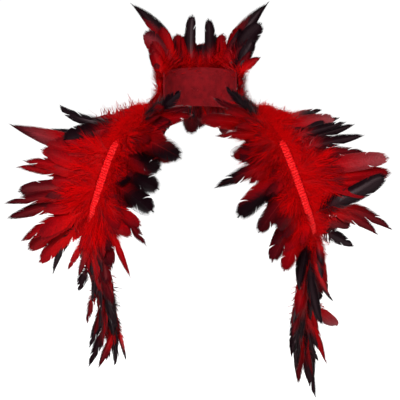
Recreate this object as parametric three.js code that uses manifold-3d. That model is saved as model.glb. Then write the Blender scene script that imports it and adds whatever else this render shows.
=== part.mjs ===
// Feather cape with a stand collar, in the form it has when worn. Millimetres, +Z up, front towards -Y.
// The origin is the middle of the neck at the foot of the collar. Left and right are the wearer's.
// A cloth collar band carries two shoulder strips. Each strip is an outer and an inner row of feathers
// on sewing tapes, a braid ribbon over the seam between them, and a feathered tail down the side.
import * as THREE from "three";
import { mergeVertices } from "three/addons/utils/BufferGeometryUtils.js";
import Module from "manifold-3d";

const wasm = await Module();
wasm.setup();

// Driving sizes, in millimetres and degrees
const NECK_RADIUS = 53; // inside of the collar band
const COLLAR_WALL = 2;
const COLLAR_HEIGHT = 60;
const COLLAR_HALF_TURN = 98; // from the middle of the back to a front edge
const COLLAR_STEPS = 28;
const TAPE_WIDTH = 10;
const TAPE_WALL = 1.6;
const TAPE_STEPS = 4; // steps of a tape or ribbon between two rows of its route
const RIBBON_WIDTH = 13;
const RIBBON_WALL = 1.8;
const SEAM_GAP = 0.4; // between layers that are sewn together
const ROOT_INSET = 2.5; // a quill starts this far inside the free edge of its tape
const VANE_WALL = 2.4; // at the quill, near the root
const VANE_THINNING = 0.6; // share of that wall that is lost towards the tip
const VANE_CAMBER = 0.1; // how far the vane's edges sink, as a share of its width
const ROLL_LENGTH = 1 / 3; // a vane turns about its quill over this share of its length
const PLUME_TAPE_HEIGHT = 44; // lower edge of the tape that carries the standing feathers
const PLUME_TAPE_PAST = 3; // degrees that this tape runs on past its last feather
const PLUME_TAPE_STEPS = 28;
const RUFF_TAPE_HEIGHT = 30; // lower edge of the tape that carries the hanging feathers
const RUFF_TAPE_PAST = 5;
const RUFF_TAPE_STEPS = 22;
const CLOTH = { color: 0x9c0410, roughness: 0.6 };
const FEATHERS = { color: 0xb00a12, roughness: 0.5 };
const BRAID = { color: 0xd8141c, roughness: 0.35 };

// A vane's width along the feather, as shares of its length and of its widest
const VANE_SECTIONS = [
  { along: 0.0, width: 0.2 },
  { along: 0.18, width: 0.6 },
  { along: 0.45, width: 1.0 },
  { along: 0.74, width: 0.92 },
  { along: 0.92, width: 0.5 },
];

// The routes of the strips over the shoulders and down the sides: out from the middle, forward of the neck and
// below its foot. facing turns the strip's face from the front to the side, and tilt raises it.
const ROUTE_COLUMNS = ["out", "front", "down", "facing", "tilt"];
const RIGHT_ROUTE = table(ROUTE_COLUMNS, [
  [55.3, 9.8, -22, 80, 0],
  [62, 16, -4, 70, 36],
  [80, 25, 4, 55, 60],
  [108, 46, 16, 40, 46],
  [127, 66, 46, 32, 28],
  [141, 76, 82, 30, 12],
  [152, 76, 118, 35, 4],
  [162, 66, 154, 42, 0],
  [162, 48, 192, 50, 0],
  [154, 20, 238, 56, 0],
  [143, -8, 290, 62, 0],
  [133, -26, 342, 66, 0],
]);
const LEFT_ROUTE = table(ROUTE_COLUMNS, [
  [55.3, 9.8, -22, 80, 0],
  [63, 17, -4, 70, 36],
  [82, 28, 4, 55, 60],
  [108, 50, 19, 40, 46],
  [124, 66, 45, 32, 28],
  [139, 76, 82, 30, 12],
  [154, 77, 124, 33, 4],
  [168, 66, 170, 42, 0],
  [171, 48, 206, 50, 0],
  [167, 20, 250, 56, 0],
  [162, -8, 302, 62, 0],
  [161, -26, 356, 66, 0],
]);
const RIBBON_ENDS = [1.4, 7.0]; // rows of the route where the ribbon starts and stops
const ROW_TAPE_ENDS = [0, 7.0];
const TAIL_TAPE_ENDS = [6.8, 11];
const TAIL_SINK = TAPE_WALL + SEAM_GAP; // the tail's tape is sewn under the ends of the rows' tapes

// The feathers of each row: where the quill is sewn, by rows of the route, or by degrees from the middle of the
// back on the collar. sweep leans a feather from straight across its tape towards the tape's far end, and turn
// is how much more it leans at its tip. lift raises it from the tape's face, droop is how much it sinks
// again, and roll turns its vane about the quill.
const FEATHER_COLUMNS = ["at", "length", "width", "sweep", "turn", "lift", "droop", "roll"];
const RIGHT_OUTER = table(FEATHER_COLUMNS, [
  [1.8, 104, 30, 8, 8, 6, 34, -36],
  [2.2, 114, 32, 22, 6, 8, 34, -36],
  [2.6, 132, 20, 70, -86, 12, 0, -30],
  [3.0, 92, 34, 54, -6, 22, 22, -24],
  [3.4, 130, 12, 18, -8, 16, 10, -16],
  [4.2, 172, 30, 4, -4, 14, 8, 0],
  [4.6, 94, 24, 8, 4, 10, 8, 0],
  [4.9, 126, 22, 8, 6, 16, 10, 0],
  [5.2, 142, 22, 8, 8, 8, 6, 0],
  [5.6, 130, 30, 20, 6, 14, 8, 0],
  [5.75, 154, 18, 25, 6, 16, 8, 0],
  [5.9, 168, 24, 32, 8, 8, 6, 0],
  [6.3, 144, 26, 48, 8, 14, 8, 0],
  [6.6, 150, 26, 52, 6, 8, 6, 0],
  [6.8, 132, 28, 60, 6, 14, 8, 0],
  [6.95, 124, 16, 54, 40, 20, 16, -16],
]);
const RIGHT_INNER = table(FEATHER_COLUMNS, [
  [2.3, 78, 30, -14, -76, 34, 10, 50],
  [2.5, 92, 24, -28, -8, 20, 10, 44],
  [2.9, 104, 26, -30, 2, 12, 10, 34],
  [3.2, 144, 36, 10, 4, 12, 12, 18],
  [3.6, 114, 28, 6, 4, 8, 6, 10],
  [4.1, 100, 36, 0, 6, 16, 12, 0],
  [4.6, 100, 36, 0, 10, 10, 8, 0],
  [5.1, 104, 36, 2, 14, 14, 12, 0],
  [5.6, 114, 22, 16, 12, 10, 10, -14],
  [6.2, 124, 14, 22, 12, 14, 8, -22],
  [6.8, 76, 26, 28, 10, 14, 6, -28],
]);
const RIGHT_TAIL = table(FEATHER_COLUMNS, [
  [7.2, 84, 26, 52, 4, 12, 2, -34],
  [7.6, 66, 20, 92, 4, 14, 6, -24],
  [8.0, 96, 26, 56, 4, 12, 4, -46],
  [8.4, 70, 22, 98, 6, 42, 4, -46],
  [8.8, 96, 26, 62, 4, 16, 4, -32],
  [9.2, 86, 16, 116, 6, 42, 4, -46],
  [9.6, 96, 24, 78, 4, 14, 4, -24],
  [10.0, 70, 16, 110, 6, 42, 4, -46],
  [10.4, 98, 18, 84, 4, 16, 4, -24],
  [10.7, 96, 18, 92, 6, 42, 4, -46],
  [10.9, 76, 16, 66, 4, 46, 4, -40],
  [10.2, 92, 18, 84, 6, 36, 4, -46],
  [9.2, 90, 24, 72, 4, 12, 4, -28],
]);
const LEFT_OUTER = table(FEATHER_COLUMNS, [
  [1.8, 104, 30, 8, 8, 6, 34, 36],
  [2.2, 112, 32, 22, 6, 8, 34, 36],
  [2.6, 114, 14, 8, -6, 12, 14, 26],
  [2.9, 102, 26, 18, -2, 16, 10, 24],
  [3.2, 112, 16, 8, -6, 12, 6, 16],
  [3.5, 110, 16, 6, -4, 18, 10, 12],
  [3.8, 126, 18, 2, -2, 10, 6, 8],
  [4.1, 126, 20, 6, 4, 16, 10, 0],
  [4.5, 126, 20, 0, 22, 8, 8, 0],
  [4.9, 150, 28, 10, 4, 14, 8, 0],
  [5.3, 152, 26, 14, 4, 8, 4, 0],
  [6.2, 164, 24, 20, 40, 8, 8, 0],
  [6.4, 128, 28, -2, -4, 34, 26, 0],
  [6.5, 130, 22, 14, 56, 14, 10, 0],
  [6.9, 90, 22, 46, 6, 10, 8, 0],
]);
const LEFT_INNER = table(FEATHER_COLUMNS, [
  [2.3, 72, 20, -56, -4, 36, 8, -48],
  [2.5, 94, 16, -18, -30, 24, 8, -44],
  [2.8, 130, 24, -16, 0, 14, 10, -34],
  [3.3, 128, 18, -6, 4, 18, 12, -20],
  [3.8, 94, 30, -4, 4, 8, 6, -8],
  [4.3, 150, 26, 0, 8, 14, 10, 0],
  [4.7, 124, 34, 14, 10, 10, 10, 0],
  [5.3, 104, 26, 16, 10, 16, 12, 10],
  [5.9, 100, 30, 28, 14, 8, 8, 18],
  [6.5, 90, 26, 16, 16, 16, 6, 24],
  [6.9, 88, 26, 38, 14, 16, 8, 28],
]);
const LEFT_TAIL = table(FEATHER_COLUMNS, [
  [7.2, 144, 18, 50, 50, 22, 14, 32],
  [7.6, 76, 24, 104, 4, 24, 6, 30],
  [8.0, 96, 26, 44, 4, 16, 4, 46],
  [8.4, 70, 22, 110, 4, 28, 4, 46],
  [8.8, 100, 26, 44, 4, 16, 4, 46],
  [10.1, 80, 26, 60, -8, 36, 4, 46],
  [9.6, 98, 26, 38, 4, 16, 4, 46],
  [10.0, 112, 16, 102, -4, 32, 6, 46],
  [10.4, 108, 18, 66, 0, 12, 4, 46],
  [10.7, 98, 18, 98, 2, 20, 6, 46],
  [10.9, 110, 20, 76, 0, 24, 4, 46],
  [9.7, 84, 14, 98, 0, 28, 4, 46],
  [10.1, 100, 18, 54, 4, 14, 4, 46],
]);
const COLLAR_PLUME = table(FEATHER_COLUMNS, [
  [-94, 44, 20, -4, 0, 22, 6, -66],
  [-86, 48, 20, 0, -4, 23, 6, -60],
  [-76, 56, 24, -2, -6, 16, -2, -52],
  [-64, 76, 28, -4, -18, 12, -18, -44],
  [-52, 74, 26, 0, -4, 10, -8, -24],
  [-38, 132, 26, -6, -42, 10, -22, -28],
  [-29, 62, 24, -4, 6, 8, -14, 0],
  [-20, 60, 22, 2, -4, 10, -8, 0],
  [-11, 90, 18, -10, 22, 8, 0, 0],
  [12, 84, 18, 10, -22, 8, 0, 0],
  [20, 60, 22, -2, 4, 10, -14, 0],
  [29, 62, 24, 4, -6, 8, -12, 0],
  [38, 132, 28, 12, 30, 10, -18, 28],
  [51, 74, 26, 0, 6, 10, -8, 24],
  [61, 92, 30, 4, 24, 12, -26, 44],
  [75, 62, 22, 8, 12, 18, -8, 50],
  [86, 46, 16, 2, 2, 24, -4, 58],
  [94, 52, 16, 12, 24, 26, -34, 70],
]);
const RUFF_SPREAD = 76; // hanging feathers reach this far from the middle of the back, in degrees
const RUFF_COUNT = 13;
const RUFF_HABITS = table(FEATHER_COLUMNS.slice(1), [
  [84, 30, -4, 6, 46, 46, 0],
  [74, 28, 6, -6, 58, 50, 0],
  [90, 30, 2, 4, 40, 44, 0],
]);

// A list of rows as objects with the given column names
function table(columns, rows) {
  return rows.map((row) => Object.fromEntries(columns.map((name, i) => [name, row[i]])));
}

const radians = THREE.MathUtils.degToRad;

// A shoulder strip's route. at(row) gives its place and directions there: along the strip, away from the
// wearer, and across it towards the wearer's side.
function shoulderRoute(rows, side) {
  const places = rows.map((r) => new THREE.Vector3(side * r.out, -r.front, -r.down));
  const curve = new THREE.CatmullRomCurve3(places, false, "catmullrom", 0.5);
  const last = rows.length - 1;
  return (row) => {
    const i = Math.min(Math.floor(row), last - 1);
    const share = row - i;
    const facing = radians(THREE.MathUtils.lerp(rows[i].facing, rows[i + 1].facing, share));
    const tilt = radians(THREE.MathUtils.lerp(rows[i].tilt, rows[i + 1].tilt, share));
    const along = curve.getTangent(row / last);
    const face = new THREE.Vector3(
      side * Math.sin(facing) * Math.cos(tilt),
      -Math.cos(facing) * Math.cos(tilt),
      Math.sin(tilt),
    );
    face.addScaledVector(along, -face.dot(along)).normalize();
    const across = new THREE.Vector3().crossVectors(along, face).multiplyScalar(-side);
    return { place: curve.getPoint(row / last), along, face, across };
  };
}

// A tape round the collar at a given height. at(degrees) is counted from the middle of the back.
function collarRoute(height) {
  const radius = NECK_RADIUS + COLLAR_WALL + SEAM_GAP + TAPE_WALL / 2;
  return (degrees) => {
    const turn = radians(degrees);
    const face = new THREE.Vector3(Math.sin(turn), Math.cos(turn), 0);
    const along = new THREE.Vector3(Math.cos(turn), -Math.sin(turn), 0);
    const place = face.clone().multiplyScalar(radius).setZ(height);
    return { place, along, face, across: new THREE.Vector3(0, 0, 1) };
  };
}

// A closed solid through sections of points that all have the same count. apex, if given, ends it in a point.
function loft(sections, apex) {
  const count = sections[0].length;
  const points = sections.flat();
  const faces = [];
  const quad = (a, b, c, d) => faces.push([a, b, c], [a, c, d]);
  for (let s = 0; s + 1 < sections.length; s++) {
    for (let k = 0; k < count; k++) {
      const next = (k + 1) % count;
      quad(s * count + k, s * count + next, (s + 1) * count + next, (s + 1) * count + k);
    }
  }
  const end = (sections.length - 1) * count;
  for (let k = 1; k + 1 < count; k++) faces.push([0, k + 1, k]);
  for (let k = 0; k < count; k++) {
    if (apex) faces.push([end + k, end + ((k + 1) % count), points.length]);
    else if (k > 0 && k + 1 < count) faces.push([end, end + k, end + k + 1]);
  }
  if (apex) points.push(apex);
  const geometry = new THREE.BufferGeometry().setFromPoints(points);
  geometry.setIndex(faces.flat());
  return solidOf(geometry);
}

// A closed geometry as a solid for joining and cutting, turned right side out
function solidOf(geometry) {
  const bare = geometry.clone();
  bare.deleteAttribute("normal");
  bare.deleteAttribute("uv");
  const merged = mergeVertices(bare, 1e-4);
  const triVerts = new Uint32Array(merged.index.array);
  const vertProperties = new Float32Array(merged.attributes.position.array);
  const made = new wasm.Manifold(new wasm.Mesh({ numProp: 3, vertProperties, triVerts }));
  if (made.volume() > 0) return made;
  for (let i = 0; i < triVerts.length; i += 3) {
    [triVerts[i + 1], triVerts[i + 2]] = [triVerts[i + 2], triVerts[i + 1]];
  }
  return new wasm.Manifold(new wasm.Mesh({ numProp: 3, vertProperties, triVerts }));
}

function join(solids) {
  return solids.reduce((all, solid) => all.add(solid));
}

// A flat strip of cloth along a route, from one reach across it to another, with its middle raised off it
function strip(route, [start, stop], steps, [near, far], wall, raise) {
  const sections = [];
  for (let i = 0; i <= steps; i++) {
    const { place, face, across } = route(THREE.MathUtils.lerp(start, stop, i / steps));
    const corner = (reach, height) =>
      place.clone().addScaledVector(across, reach).addScaledVector(face, height);
    sections.push([
      corner(near, raise - wall / 2),
      corner(far, raise - wall / 2),
      corner(far, raise + wall / 2),
      corner(near, raise + wall / 2),
    ]);
  }
  return loft(sections);
}

// One feather: a cambered vane along a curved quill. side is 1 on the across side of its tape, -1 on the other.
function feather(route, row, side, reach, raise) {
  const { place, along, face, across } = route(row.at);
  const away = across.clone().multiplyScalar(side);
  const heading = (share) => {
    const sweep = radians(row.sweep + row.turn * share);
    const lift = radians(row.lift - row.droop * share);
    return new THREE.Vector3()
      .addScaledVector(away, Math.cos(lift) * Math.cos(sweep))
      .addScaledVector(along, Math.cos(lift) * Math.sin(sweep))
      .addScaledVector(face, Math.sin(lift));
  };
  const quill = place.clone().addScaledVector(away, reach).addScaledVector(face, raise);
  const sections = [];
  let before = 0;
  const advance = (share) => {
    quill.addScaledVector(heading((before + share) / 2), row.length * (share - before));
    before = share;
  };
  for (const section of VANE_SECTIONS) {
    advance(section.along);
    const ahead = heading(section.along);
    const sideways = new THREE.Vector3().crossVectors(ahead, face).normalize();
    sideways.applyAxisAngle(ahead, radians(row.roll) * Math.min(1, section.along / ROLL_LENGTH));
    const up = new THREE.Vector3().crossVectors(sideways, ahead);
    const half = (row.width * section.width) / 2;
    const wall = VANE_WALL * (1 - VANE_THINNING * section.along);
    const point = (out, height) => quill.clone().addScaledVector(sideways, out).addScaledVector(up, height);
    const edge = -VANE_CAMBER * 2 * half;
    sections.push([point(-half, edge), point(0, -wall / 2), point(half, edge), point(0, wall / 2)]);
  }
  advance(1);
  return loft(sections, quill.clone());
}

// A row of feathers fused to its tape
function featherRow(route, tape, rows, sideOf, reach, raise = 0) {
  return join([tape, ...rows.map((row, i) => feather(route, row, sideOf(i), reach, raise))]);
}

function mesh(name, solid, finish) {
  const { vertProperties, triVerts } = solid.getMesh();
  const geometry = new THREE.BufferGeometry();
  geometry.setAttribute("position", new THREE.BufferAttribute(vertProperties, 3));
  geometry.setIndex(new THREE.BufferAttribute(triVerts, 1));
  geometry.computeVertexNormals();
  const material = new THREE.MeshStandardMaterial({ ...finish, metalness: 0 });
  const made = new THREE.Mesh(geometry, material);
  made.name = name;
  return made;
}

// The collar band: a standing wall of cloth round the sides and back of the neck, open in front
function collarBand() {
  const start = Math.PI / 2 - radians(COLLAR_HALF_TURN);
  const stop = Math.PI / 2 + radians(COLLAR_HALF_TURN);
  const outline = new THREE.Shape();
  outline.absarc(0, 0, NECK_RADIUS + COLLAR_WALL, start, stop, false);
  outline.absarc(0, 0, NECK_RADIUS, stop, start, true);
  const wall = new THREE.ExtrudeGeometry(outline, {
    depth: COLLAR_HEIGHT,
    curveSegments: COLLAR_STEPS,
    bevelEnabled: false,
  });
  return mesh("collar_band", solidOf(wall), CLOTH);
}

// Two rows of feathers round the collar: one stands up past the band's top, and one hangs over the back
function collarFeathers() {
  const upper = collarRoute(PLUME_TAPE_HEIGHT);
  const lower = collarRoute(RUFF_TAPE_HEIGHT);
  const plumeEnd = COLLAR_PLUME.at(-1).at + PLUME_TAPE_PAST;
  const plumeTape = strip(upper, [-plumeEnd, plumeEnd], PLUME_TAPE_STEPS, [0, TAPE_WIDTH], TAPE_WALL, 0);
  const ruffEnd = RUFF_SPREAD + RUFF_TAPE_PAST;
  const ruffTape = strip(lower, [-ruffEnd, ruffEnd], RUFF_TAPE_STEPS, [0, TAPE_WIDTH], TAPE_WALL, 0);
  const ruffRows = Array.from({ length: RUFF_COUNT }, (_, i) => ({
    ...RUFF_HABITS[i % RUFF_HABITS.length],
    at: THREE.MathUtils.lerp(-RUFF_SPREAD, RUFF_SPREAD, i / (RUFF_COUNT - 1)),
  }));
  const plume = featherRow(upper, plumeTape, COLLAR_PLUME, () => 1, TAPE_WIDTH - ROOT_INSET);
  const ruff = featherRow(lower, ruffTape, ruffRows, () => -1, -ROOT_INSET);
  return [
    mesh("collar_plume", plume, FEATHERS),
    mesh("collar_ruff", ruff, FEATHERS),
  ];
}

// One shoulder: an outer and an inner row on their tapes, the ribbon over the seam, and the tail
function shoulder(name, side, routeRows, outer, inner, tail) {
  const route = shoulderRoute(routeRows, side);
  const tapeSteps = ([start, stop]) => Math.ceil((stop - start) * TAPE_STEPS);
  const seam = SEAM_GAP / 2;
  const tape = (near, far) =>
    strip(route, ROW_TAPE_ENDS, tapeSteps(ROW_TAPE_ENDS), [near, far], TAPE_WALL, 0);
  const reach = TAPE_WIDTH - ROOT_INSET;
  const outerRow = featherRow(route, tape(seam, TAPE_WIDTH), outer, () => 1, reach);
  const innerRow = featherRow(route, tape(-TAPE_WIDTH, -seam), inner, () => -1, reach);
  const ribbonRaise = TAPE_WALL / 2 + SEAM_GAP + RIBBON_WALL / 2;
  const ribbonReach = [-RIBBON_WIDTH / 2, RIBBON_WIDTH / 2];
  const ribbon = strip(route, RIBBON_ENDS, tapeSteps(RIBBON_ENDS), ribbonReach, RIBBON_WALL, ribbonRaise);
  const tailReach = [-TAPE_WIDTH, TAPE_WIDTH];
  const tailSteps = tapeSteps(TAIL_TAPE_ENDS);
  const tailTape = strip(route, TAIL_TAPE_ENDS, tailSteps, tailReach, TAPE_WALL, -TAIL_SINK);
  const tailRow = featherRow(route, tailTape, tail, (i) => (i % 2 ? 1 : -1), reach, -TAIL_SINK);
  return [
    mesh(name + "_outer_row", outerRow, FEATHERS),
    mesh(name + "_inner_row", innerRow, FEATHERS),
    mesh(name + "_ribbon", ribbon, BRAID),
    mesh(name + "_tail", tailRow, FEATHERS),
  ];
}

const cape = new THREE.Group();
cape.add(collarBand(), ...collarFeathers());
cape.add(...shoulder("right", -1, RIGHT_ROUTE, RIGHT_OUTER, RIGHT_INNER, RIGHT_TAIL));
cape.add(...shoulder("left", 1, LEFT_ROUTE, LEFT_OUTER, LEFT_INNER, LEFT_TAIL));

export default cape;
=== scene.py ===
import math

import bmesh
import bpy
import numpy as np
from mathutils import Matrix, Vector


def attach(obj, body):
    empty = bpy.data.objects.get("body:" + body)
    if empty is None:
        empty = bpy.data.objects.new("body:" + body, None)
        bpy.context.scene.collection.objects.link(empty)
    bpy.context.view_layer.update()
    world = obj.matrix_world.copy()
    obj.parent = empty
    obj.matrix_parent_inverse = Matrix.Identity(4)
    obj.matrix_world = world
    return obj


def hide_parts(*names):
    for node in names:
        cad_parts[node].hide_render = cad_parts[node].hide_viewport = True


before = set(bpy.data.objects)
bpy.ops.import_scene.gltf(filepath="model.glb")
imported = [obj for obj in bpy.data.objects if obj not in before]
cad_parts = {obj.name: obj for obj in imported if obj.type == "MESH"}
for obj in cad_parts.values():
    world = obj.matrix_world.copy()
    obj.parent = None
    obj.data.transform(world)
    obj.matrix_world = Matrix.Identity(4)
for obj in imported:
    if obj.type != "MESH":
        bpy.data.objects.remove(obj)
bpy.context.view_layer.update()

# Collar band
# The stand collar is a doubled band of dull red plain-weave cotton, open at the
# throat. Its top and bottom edges are turned and stitched down 4 mm from the fold,
# and everything else hangs from it.
MM = 0.001
NECK_RADIUS = 53 * MM
COLLAR_WALL = 2 * MM
COLLAR_HEIGHT = 60 * MM
COLLAR_HALF_TURN = math.radians(98)
COLLAR_STEPS = 84
EDGE_ROUND = 0.7 * MM
COLLAR_THREAD = 1.1 * MM
WEAVE_DEPTH = 0.4 * MM
WAVE_LENGTH = 0.314
STITCH_INSET = 4 * MM
STITCH_LENGTH = 3.2 * MM
STITCH_SPACING = 1.35 * STITCH_LENGTH
STITCH_THREAD = 0.4 * MM
THREAD_RADIUS = 0.35 * MM
CLOTH_RED = (0.20, 0.003, 0.006, 1)
# The darker cloth colour is painted shade for the hollows between the threads.
CLOTH_PAINTED_SHADE = (0.08, 0.001, 0.003, 1)
THREAD_RED = (0.42, 0.02, 0.025, 1)


def new_material(name):
    """A material with its nodes, its links and its shader."""
    material = bpy.data.materials.new(name)
    material.use_nodes = True
    nodes = material.node_tree.nodes
    return material, nodes, material.node_tree.links, nodes["Principled BSDF"]


def set_inputs(node, values):
    """Gives each named input of a node its value."""
    for socket, value in values.items():
        node.inputs[socket].default_value = value


def colour_ramp(nodes, stops):
    """A ramp with a colour at each share of the way, in rising order."""
    ramp = nodes.new("ShaderNodeValToRGB")
    elements = ramp.color_ramp.elements
    for index, (share, colour) in enumerate(stops):
        stop = elements[index] if index < 2 else elements.new(share)
        stop.position = share
        stop.color = colour
    return ramp


def cloth_material(name, light, dark, thread_pitch):
    """Plain weave: two crossed waves of threads, painted shade where they dip, and a little slub in the
    colour.
    """
    material, nodes, links, shader = new_material(name)
    set_inputs(shader, {"Roughness": 0.82, "Specular IOR Level": 0.1})
    place = nodes.new("ShaderNodeTexCoord")
    threads = []
    for direction in ("Z", "DIAGONAL"):
        wave = nodes.new("ShaderNodeTexWave")
        wave.bands_direction = direction
        set_inputs(wave, {"Scale": WAVE_LENGTH / thread_pitch, "Distortion": 0.6, "Detail": 1.0})
        links.new(place.outputs["Object"], wave.inputs["Vector"])
        threads.append(wave)
    weave = nodes.new("ShaderNodeMath")
    weave.operation = "MULTIPLY"
    links.new(threads[0].outputs["Fac"], weave.inputs[0])
    links.new(threads[1].outputs["Fac"], weave.inputs[1])
    slub = nodes.new("ShaderNodeTexNoise")
    set_inputs(slub, {"Scale": 120, "Detail": 3})
    links.new(place.outputs["Object"], slub.inputs["Vector"])
    shade = nodes.new("ShaderNodeMath")
    shade.operation = "MULTIPLY_ADD"
    shade.inputs[1].default_value = 0.45
    links.new(weave.outputs[0], shade.inputs[0])
    links.new(slub.outputs["Fac"], shade.inputs[2])
    # The ramp's dark end is painted shade where the weave dips; the slub noise is the yarn's own uneven
    # colour.
    ramp = colour_ramp(nodes, [(0.3, dark), (0.85, light)])
    links.new(shade.outputs[0], ramp.inputs["Fac"])
    links.new(ramp.outputs["Color"], shader.inputs["Base Color"])
    bump = nodes.new("ShaderNodeBump")
    set_inputs(bump, {"Strength": 0.35, "Distance": WEAVE_DEPTH})
    links.new(weave.outputs[0], bump.inputs["Height"])
    links.new(bump.outputs["Normal"], shader.inputs["Normal"])
    return material


collar_cloth = cloth_material("collar_cloth", CLOTH_RED, CLOTH_PAINTED_SHADE, COLLAR_THREAD)
stitch_thread = cloth_material("stitch_thread", THREAD_RED, CLOTH_RED, STITCH_THREAD)

band = bmesh.new()
inner, outer = NECK_RADIUS, NECK_RADIUS + COLLAR_WALL
section = [
    (inner, EDGE_ROUND), (inner + EDGE_ROUND, 0), (outer - EDGE_ROUND, 0), (outer, EDGE_ROUND),
    (outer, COLLAR_HEIGHT - EDGE_ROUND), (outer - EDGE_ROUND, COLLAR_HEIGHT),
    (inner + EDGE_ROUND, COLLAR_HEIGHT), (inner, COLLAR_HEIGHT - EDGE_ROUND),
]
corners = [
    band.verts.new((r * math.sin(-COLLAR_HALF_TURN), r * math.cos(-COLLAR_HALF_TURN), z))
    for r, z in section
]
end = band.faces.new(corners)
bmesh.ops.spin(
    band, geom=[end, *end.edges, *end.verts], cent=(0, 0, 0), axis=(0, 0, 1),
    angle=-2 * COLLAR_HALF_TURN, steps=COLLAR_STEPS, use_duplicate=False,
)
bmesh.ops.recalc_face_normals(band, faces=band.faces)
for face in band.faces:
    face.smooth = True
stitched_round = 2 * COLLAR_HALF_TURN * outer
stitches = int(stitched_round / STITCH_SPACING)
for height in (STITCH_INSET, COLLAR_HEIGHT - STITCH_INSET):
    for step in range(stitches):
        turn = COLLAR_HALF_TURN * (2 * (step + 0.5) / stitches - 1)
        made = bmesh.ops.create_icosphere(band, subdivisions=1, radius=1)["verts"]
        bmesh.ops.scale(band, verts=made, vec=(STITCH_LENGTH / 2, THREAD_RADIUS, THREAD_RADIUS))
        for vert in made:
            x, y, z = vert.co
            vert.co = (
                (outer + y) * math.sin(turn) + x * math.cos(turn),
                (outer + y) * math.cos(turn) - x * math.sin(turn),
                height + z,
            )
        for face in {f for v in made for f in v.link_faces}:
            face.material_index = 1
            face.smooth = True
collar_mesh = bpy.data.meshes.new("collar_cloth_band")
band.to_mesh(collar_mesh)
band.free()
collar_mesh.materials.append(collar_cloth)
collar_mesh.materials.append(stitch_thread)
collar_piece = bpy.data.objects.new("collar_cloth_band", collar_mesh)
bpy.context.collection.objects.link(collar_piece)
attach(collar_piece, "root")
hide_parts("collar_band")

# Collar plume
# Dyed rooster feathers stand round the outside of the collar, sewn by their quills
# to a narrow tape near its top. Each is a quill with a vane of barbs on both sides and
# loose down at its root; the two longest, half red and half black, make the horns.
RED_GLOSS, BLACK_GLOSS = (1.0, 0.25, 0.25, 1), (1.0, 0.72, 0.76, 1)
DYE_LOTS = {
    # name: share of the length from the root and the colour there; then light let through,
    # roughness, strength of the gloss and its tint, and how far the dye runs up one edge
    "down": (
        [(0.0, (0.50, 0.001, 0.002)), (0.6, (0.72, 0.001, 0.002)), (1.0, (0.58, 0.001, 0.003))],
        0.28, 0.65, 0.04, RED_GLOSS, 0.0,
    ),
    "red": (
        [(0.0, (0.52, 0.001, 0.002)), (0.4, (0.56, 0.001, 0.002)), (0.7, (0.34, 0.001, 0.004)),
         (1.0, (0.15, 0.002, 0.005))],
        0.20, 0.48, 0.11, RED_GLOSS, 0.25,
    ),
    "wine": (
        [(0.0, (0.52, 0.001, 0.002)), (0.38, (0.40, 0.001, 0.003)), (0.62, (0.13, 0.002, 0.005)),
         (1.0, (0.040, 0.002, 0.005))],
        0.14, 0.44, 0.16, RED_GLOSS, 0.3,
    ),
    "dipped": (
        [(0.0, (0.54, 0.001, 0.002)), (0.45, (0.42, 0.001, 0.004)), (0.64, (0.09, 0.001, 0.004)),
         (0.78, (0.008, 0.001, 0.003)), (1.0, (0.006, 0.001, 0.003))],
        0.06, 0.44, 0.12, BLACK_GLOSS, 0.3,
    ),
    "dark": (
        [(0.0, (0.50, 0.001, 0.002)), (0.28, (0.36, 0.001, 0.004)), (0.46, (0.04, 0.001, 0.003)),
         (0.58, (0.008, 0.001, 0.003)), (1.0, (0.007, 0.001, 0.003))],
        0.03, 0.42, 0.14, BLACK_GLOSS, 0.1,
    ),
    "black": (
        [(0.0, (0.26, 0.001, 0.002)), (0.2, (0.04, 0.001, 0.003)), (0.4, (0.007, 0.001, 0.003)),
         (1.0, (0.006, 0.001, 0.003))],
        0.02, 0.40, 0.14, BLACK_GLOSS, 0.0,
    ),
    "rose": (
        [(0.0, (0.58, 0.001, 0.003)), (0.45, (0.52, 0.003, 0.008)), (0.75, (0.38, 0.035, 0.045)),
         (1.0, (0.34, 0.075, 0.085))],
        0.34, 0.46, 0.16, RED_GLOSS, 0.1,
    ),
    "veined": (
        [(0.0, (0.56, 0.001, 0.003)), (0.40, (0.50, 0.002, 0.006)), (0.58, (0.30, 0.018, 0.024)),
         (0.74, (0.22, 0.022, 0.030)), (0.90, (0.07, 0.006, 0.010)), (1.0, (0.05, 0.004, 0.008))],
        0.20, 0.44, 0.16, RED_GLOSS, -0.5,
    ),
    "half_black": (
        [(0.0, (0.50, 0.001, 0.002)), (0.35, (0.32, 0.001, 0.004)), (0.55, (0.13, 0.002, 0.006)),
         (0.68, (0.010, 0.001, 0.003)), (1.0, (0.007, 0.001, 0.003))],
        0.08, 0.42, 0.16, BLACK_GLOSS, -0.9,
    ),
}
LOTS = list(DYE_LOTS)
DARK_LOTS = ("dark", "black", "half_black")
BAKE_STRIPS = len(LOTS) + 2
QUILL_STRIP, TAPE_STRIP = len(LOTS), len(LOTS) + 1
QUILL_STOPS = [
    (0.0, (0.40, 0.020, 0.018, 1)), (0.45, (0.48, 0.012, 0.012, 1)), (1.0, (0.10, 0.006, 0.008, 1)),
]
STREAK_SCALE = (5, 60, 1)
# How far the barb streaks darken the dye: painted shade between the barbs, together with their own tone.
STREAK_PAINTED_SHADE = {"From Min": 0.3, "From Max": 0.7, "To Min": 0.44, "To Max": 1.0}
DYE_RAGGED = 0.16
MIX_COLOUR_A, MIX_COLOUR_B, MIX_COLOUR_OUT = 6, 7, 2


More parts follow.
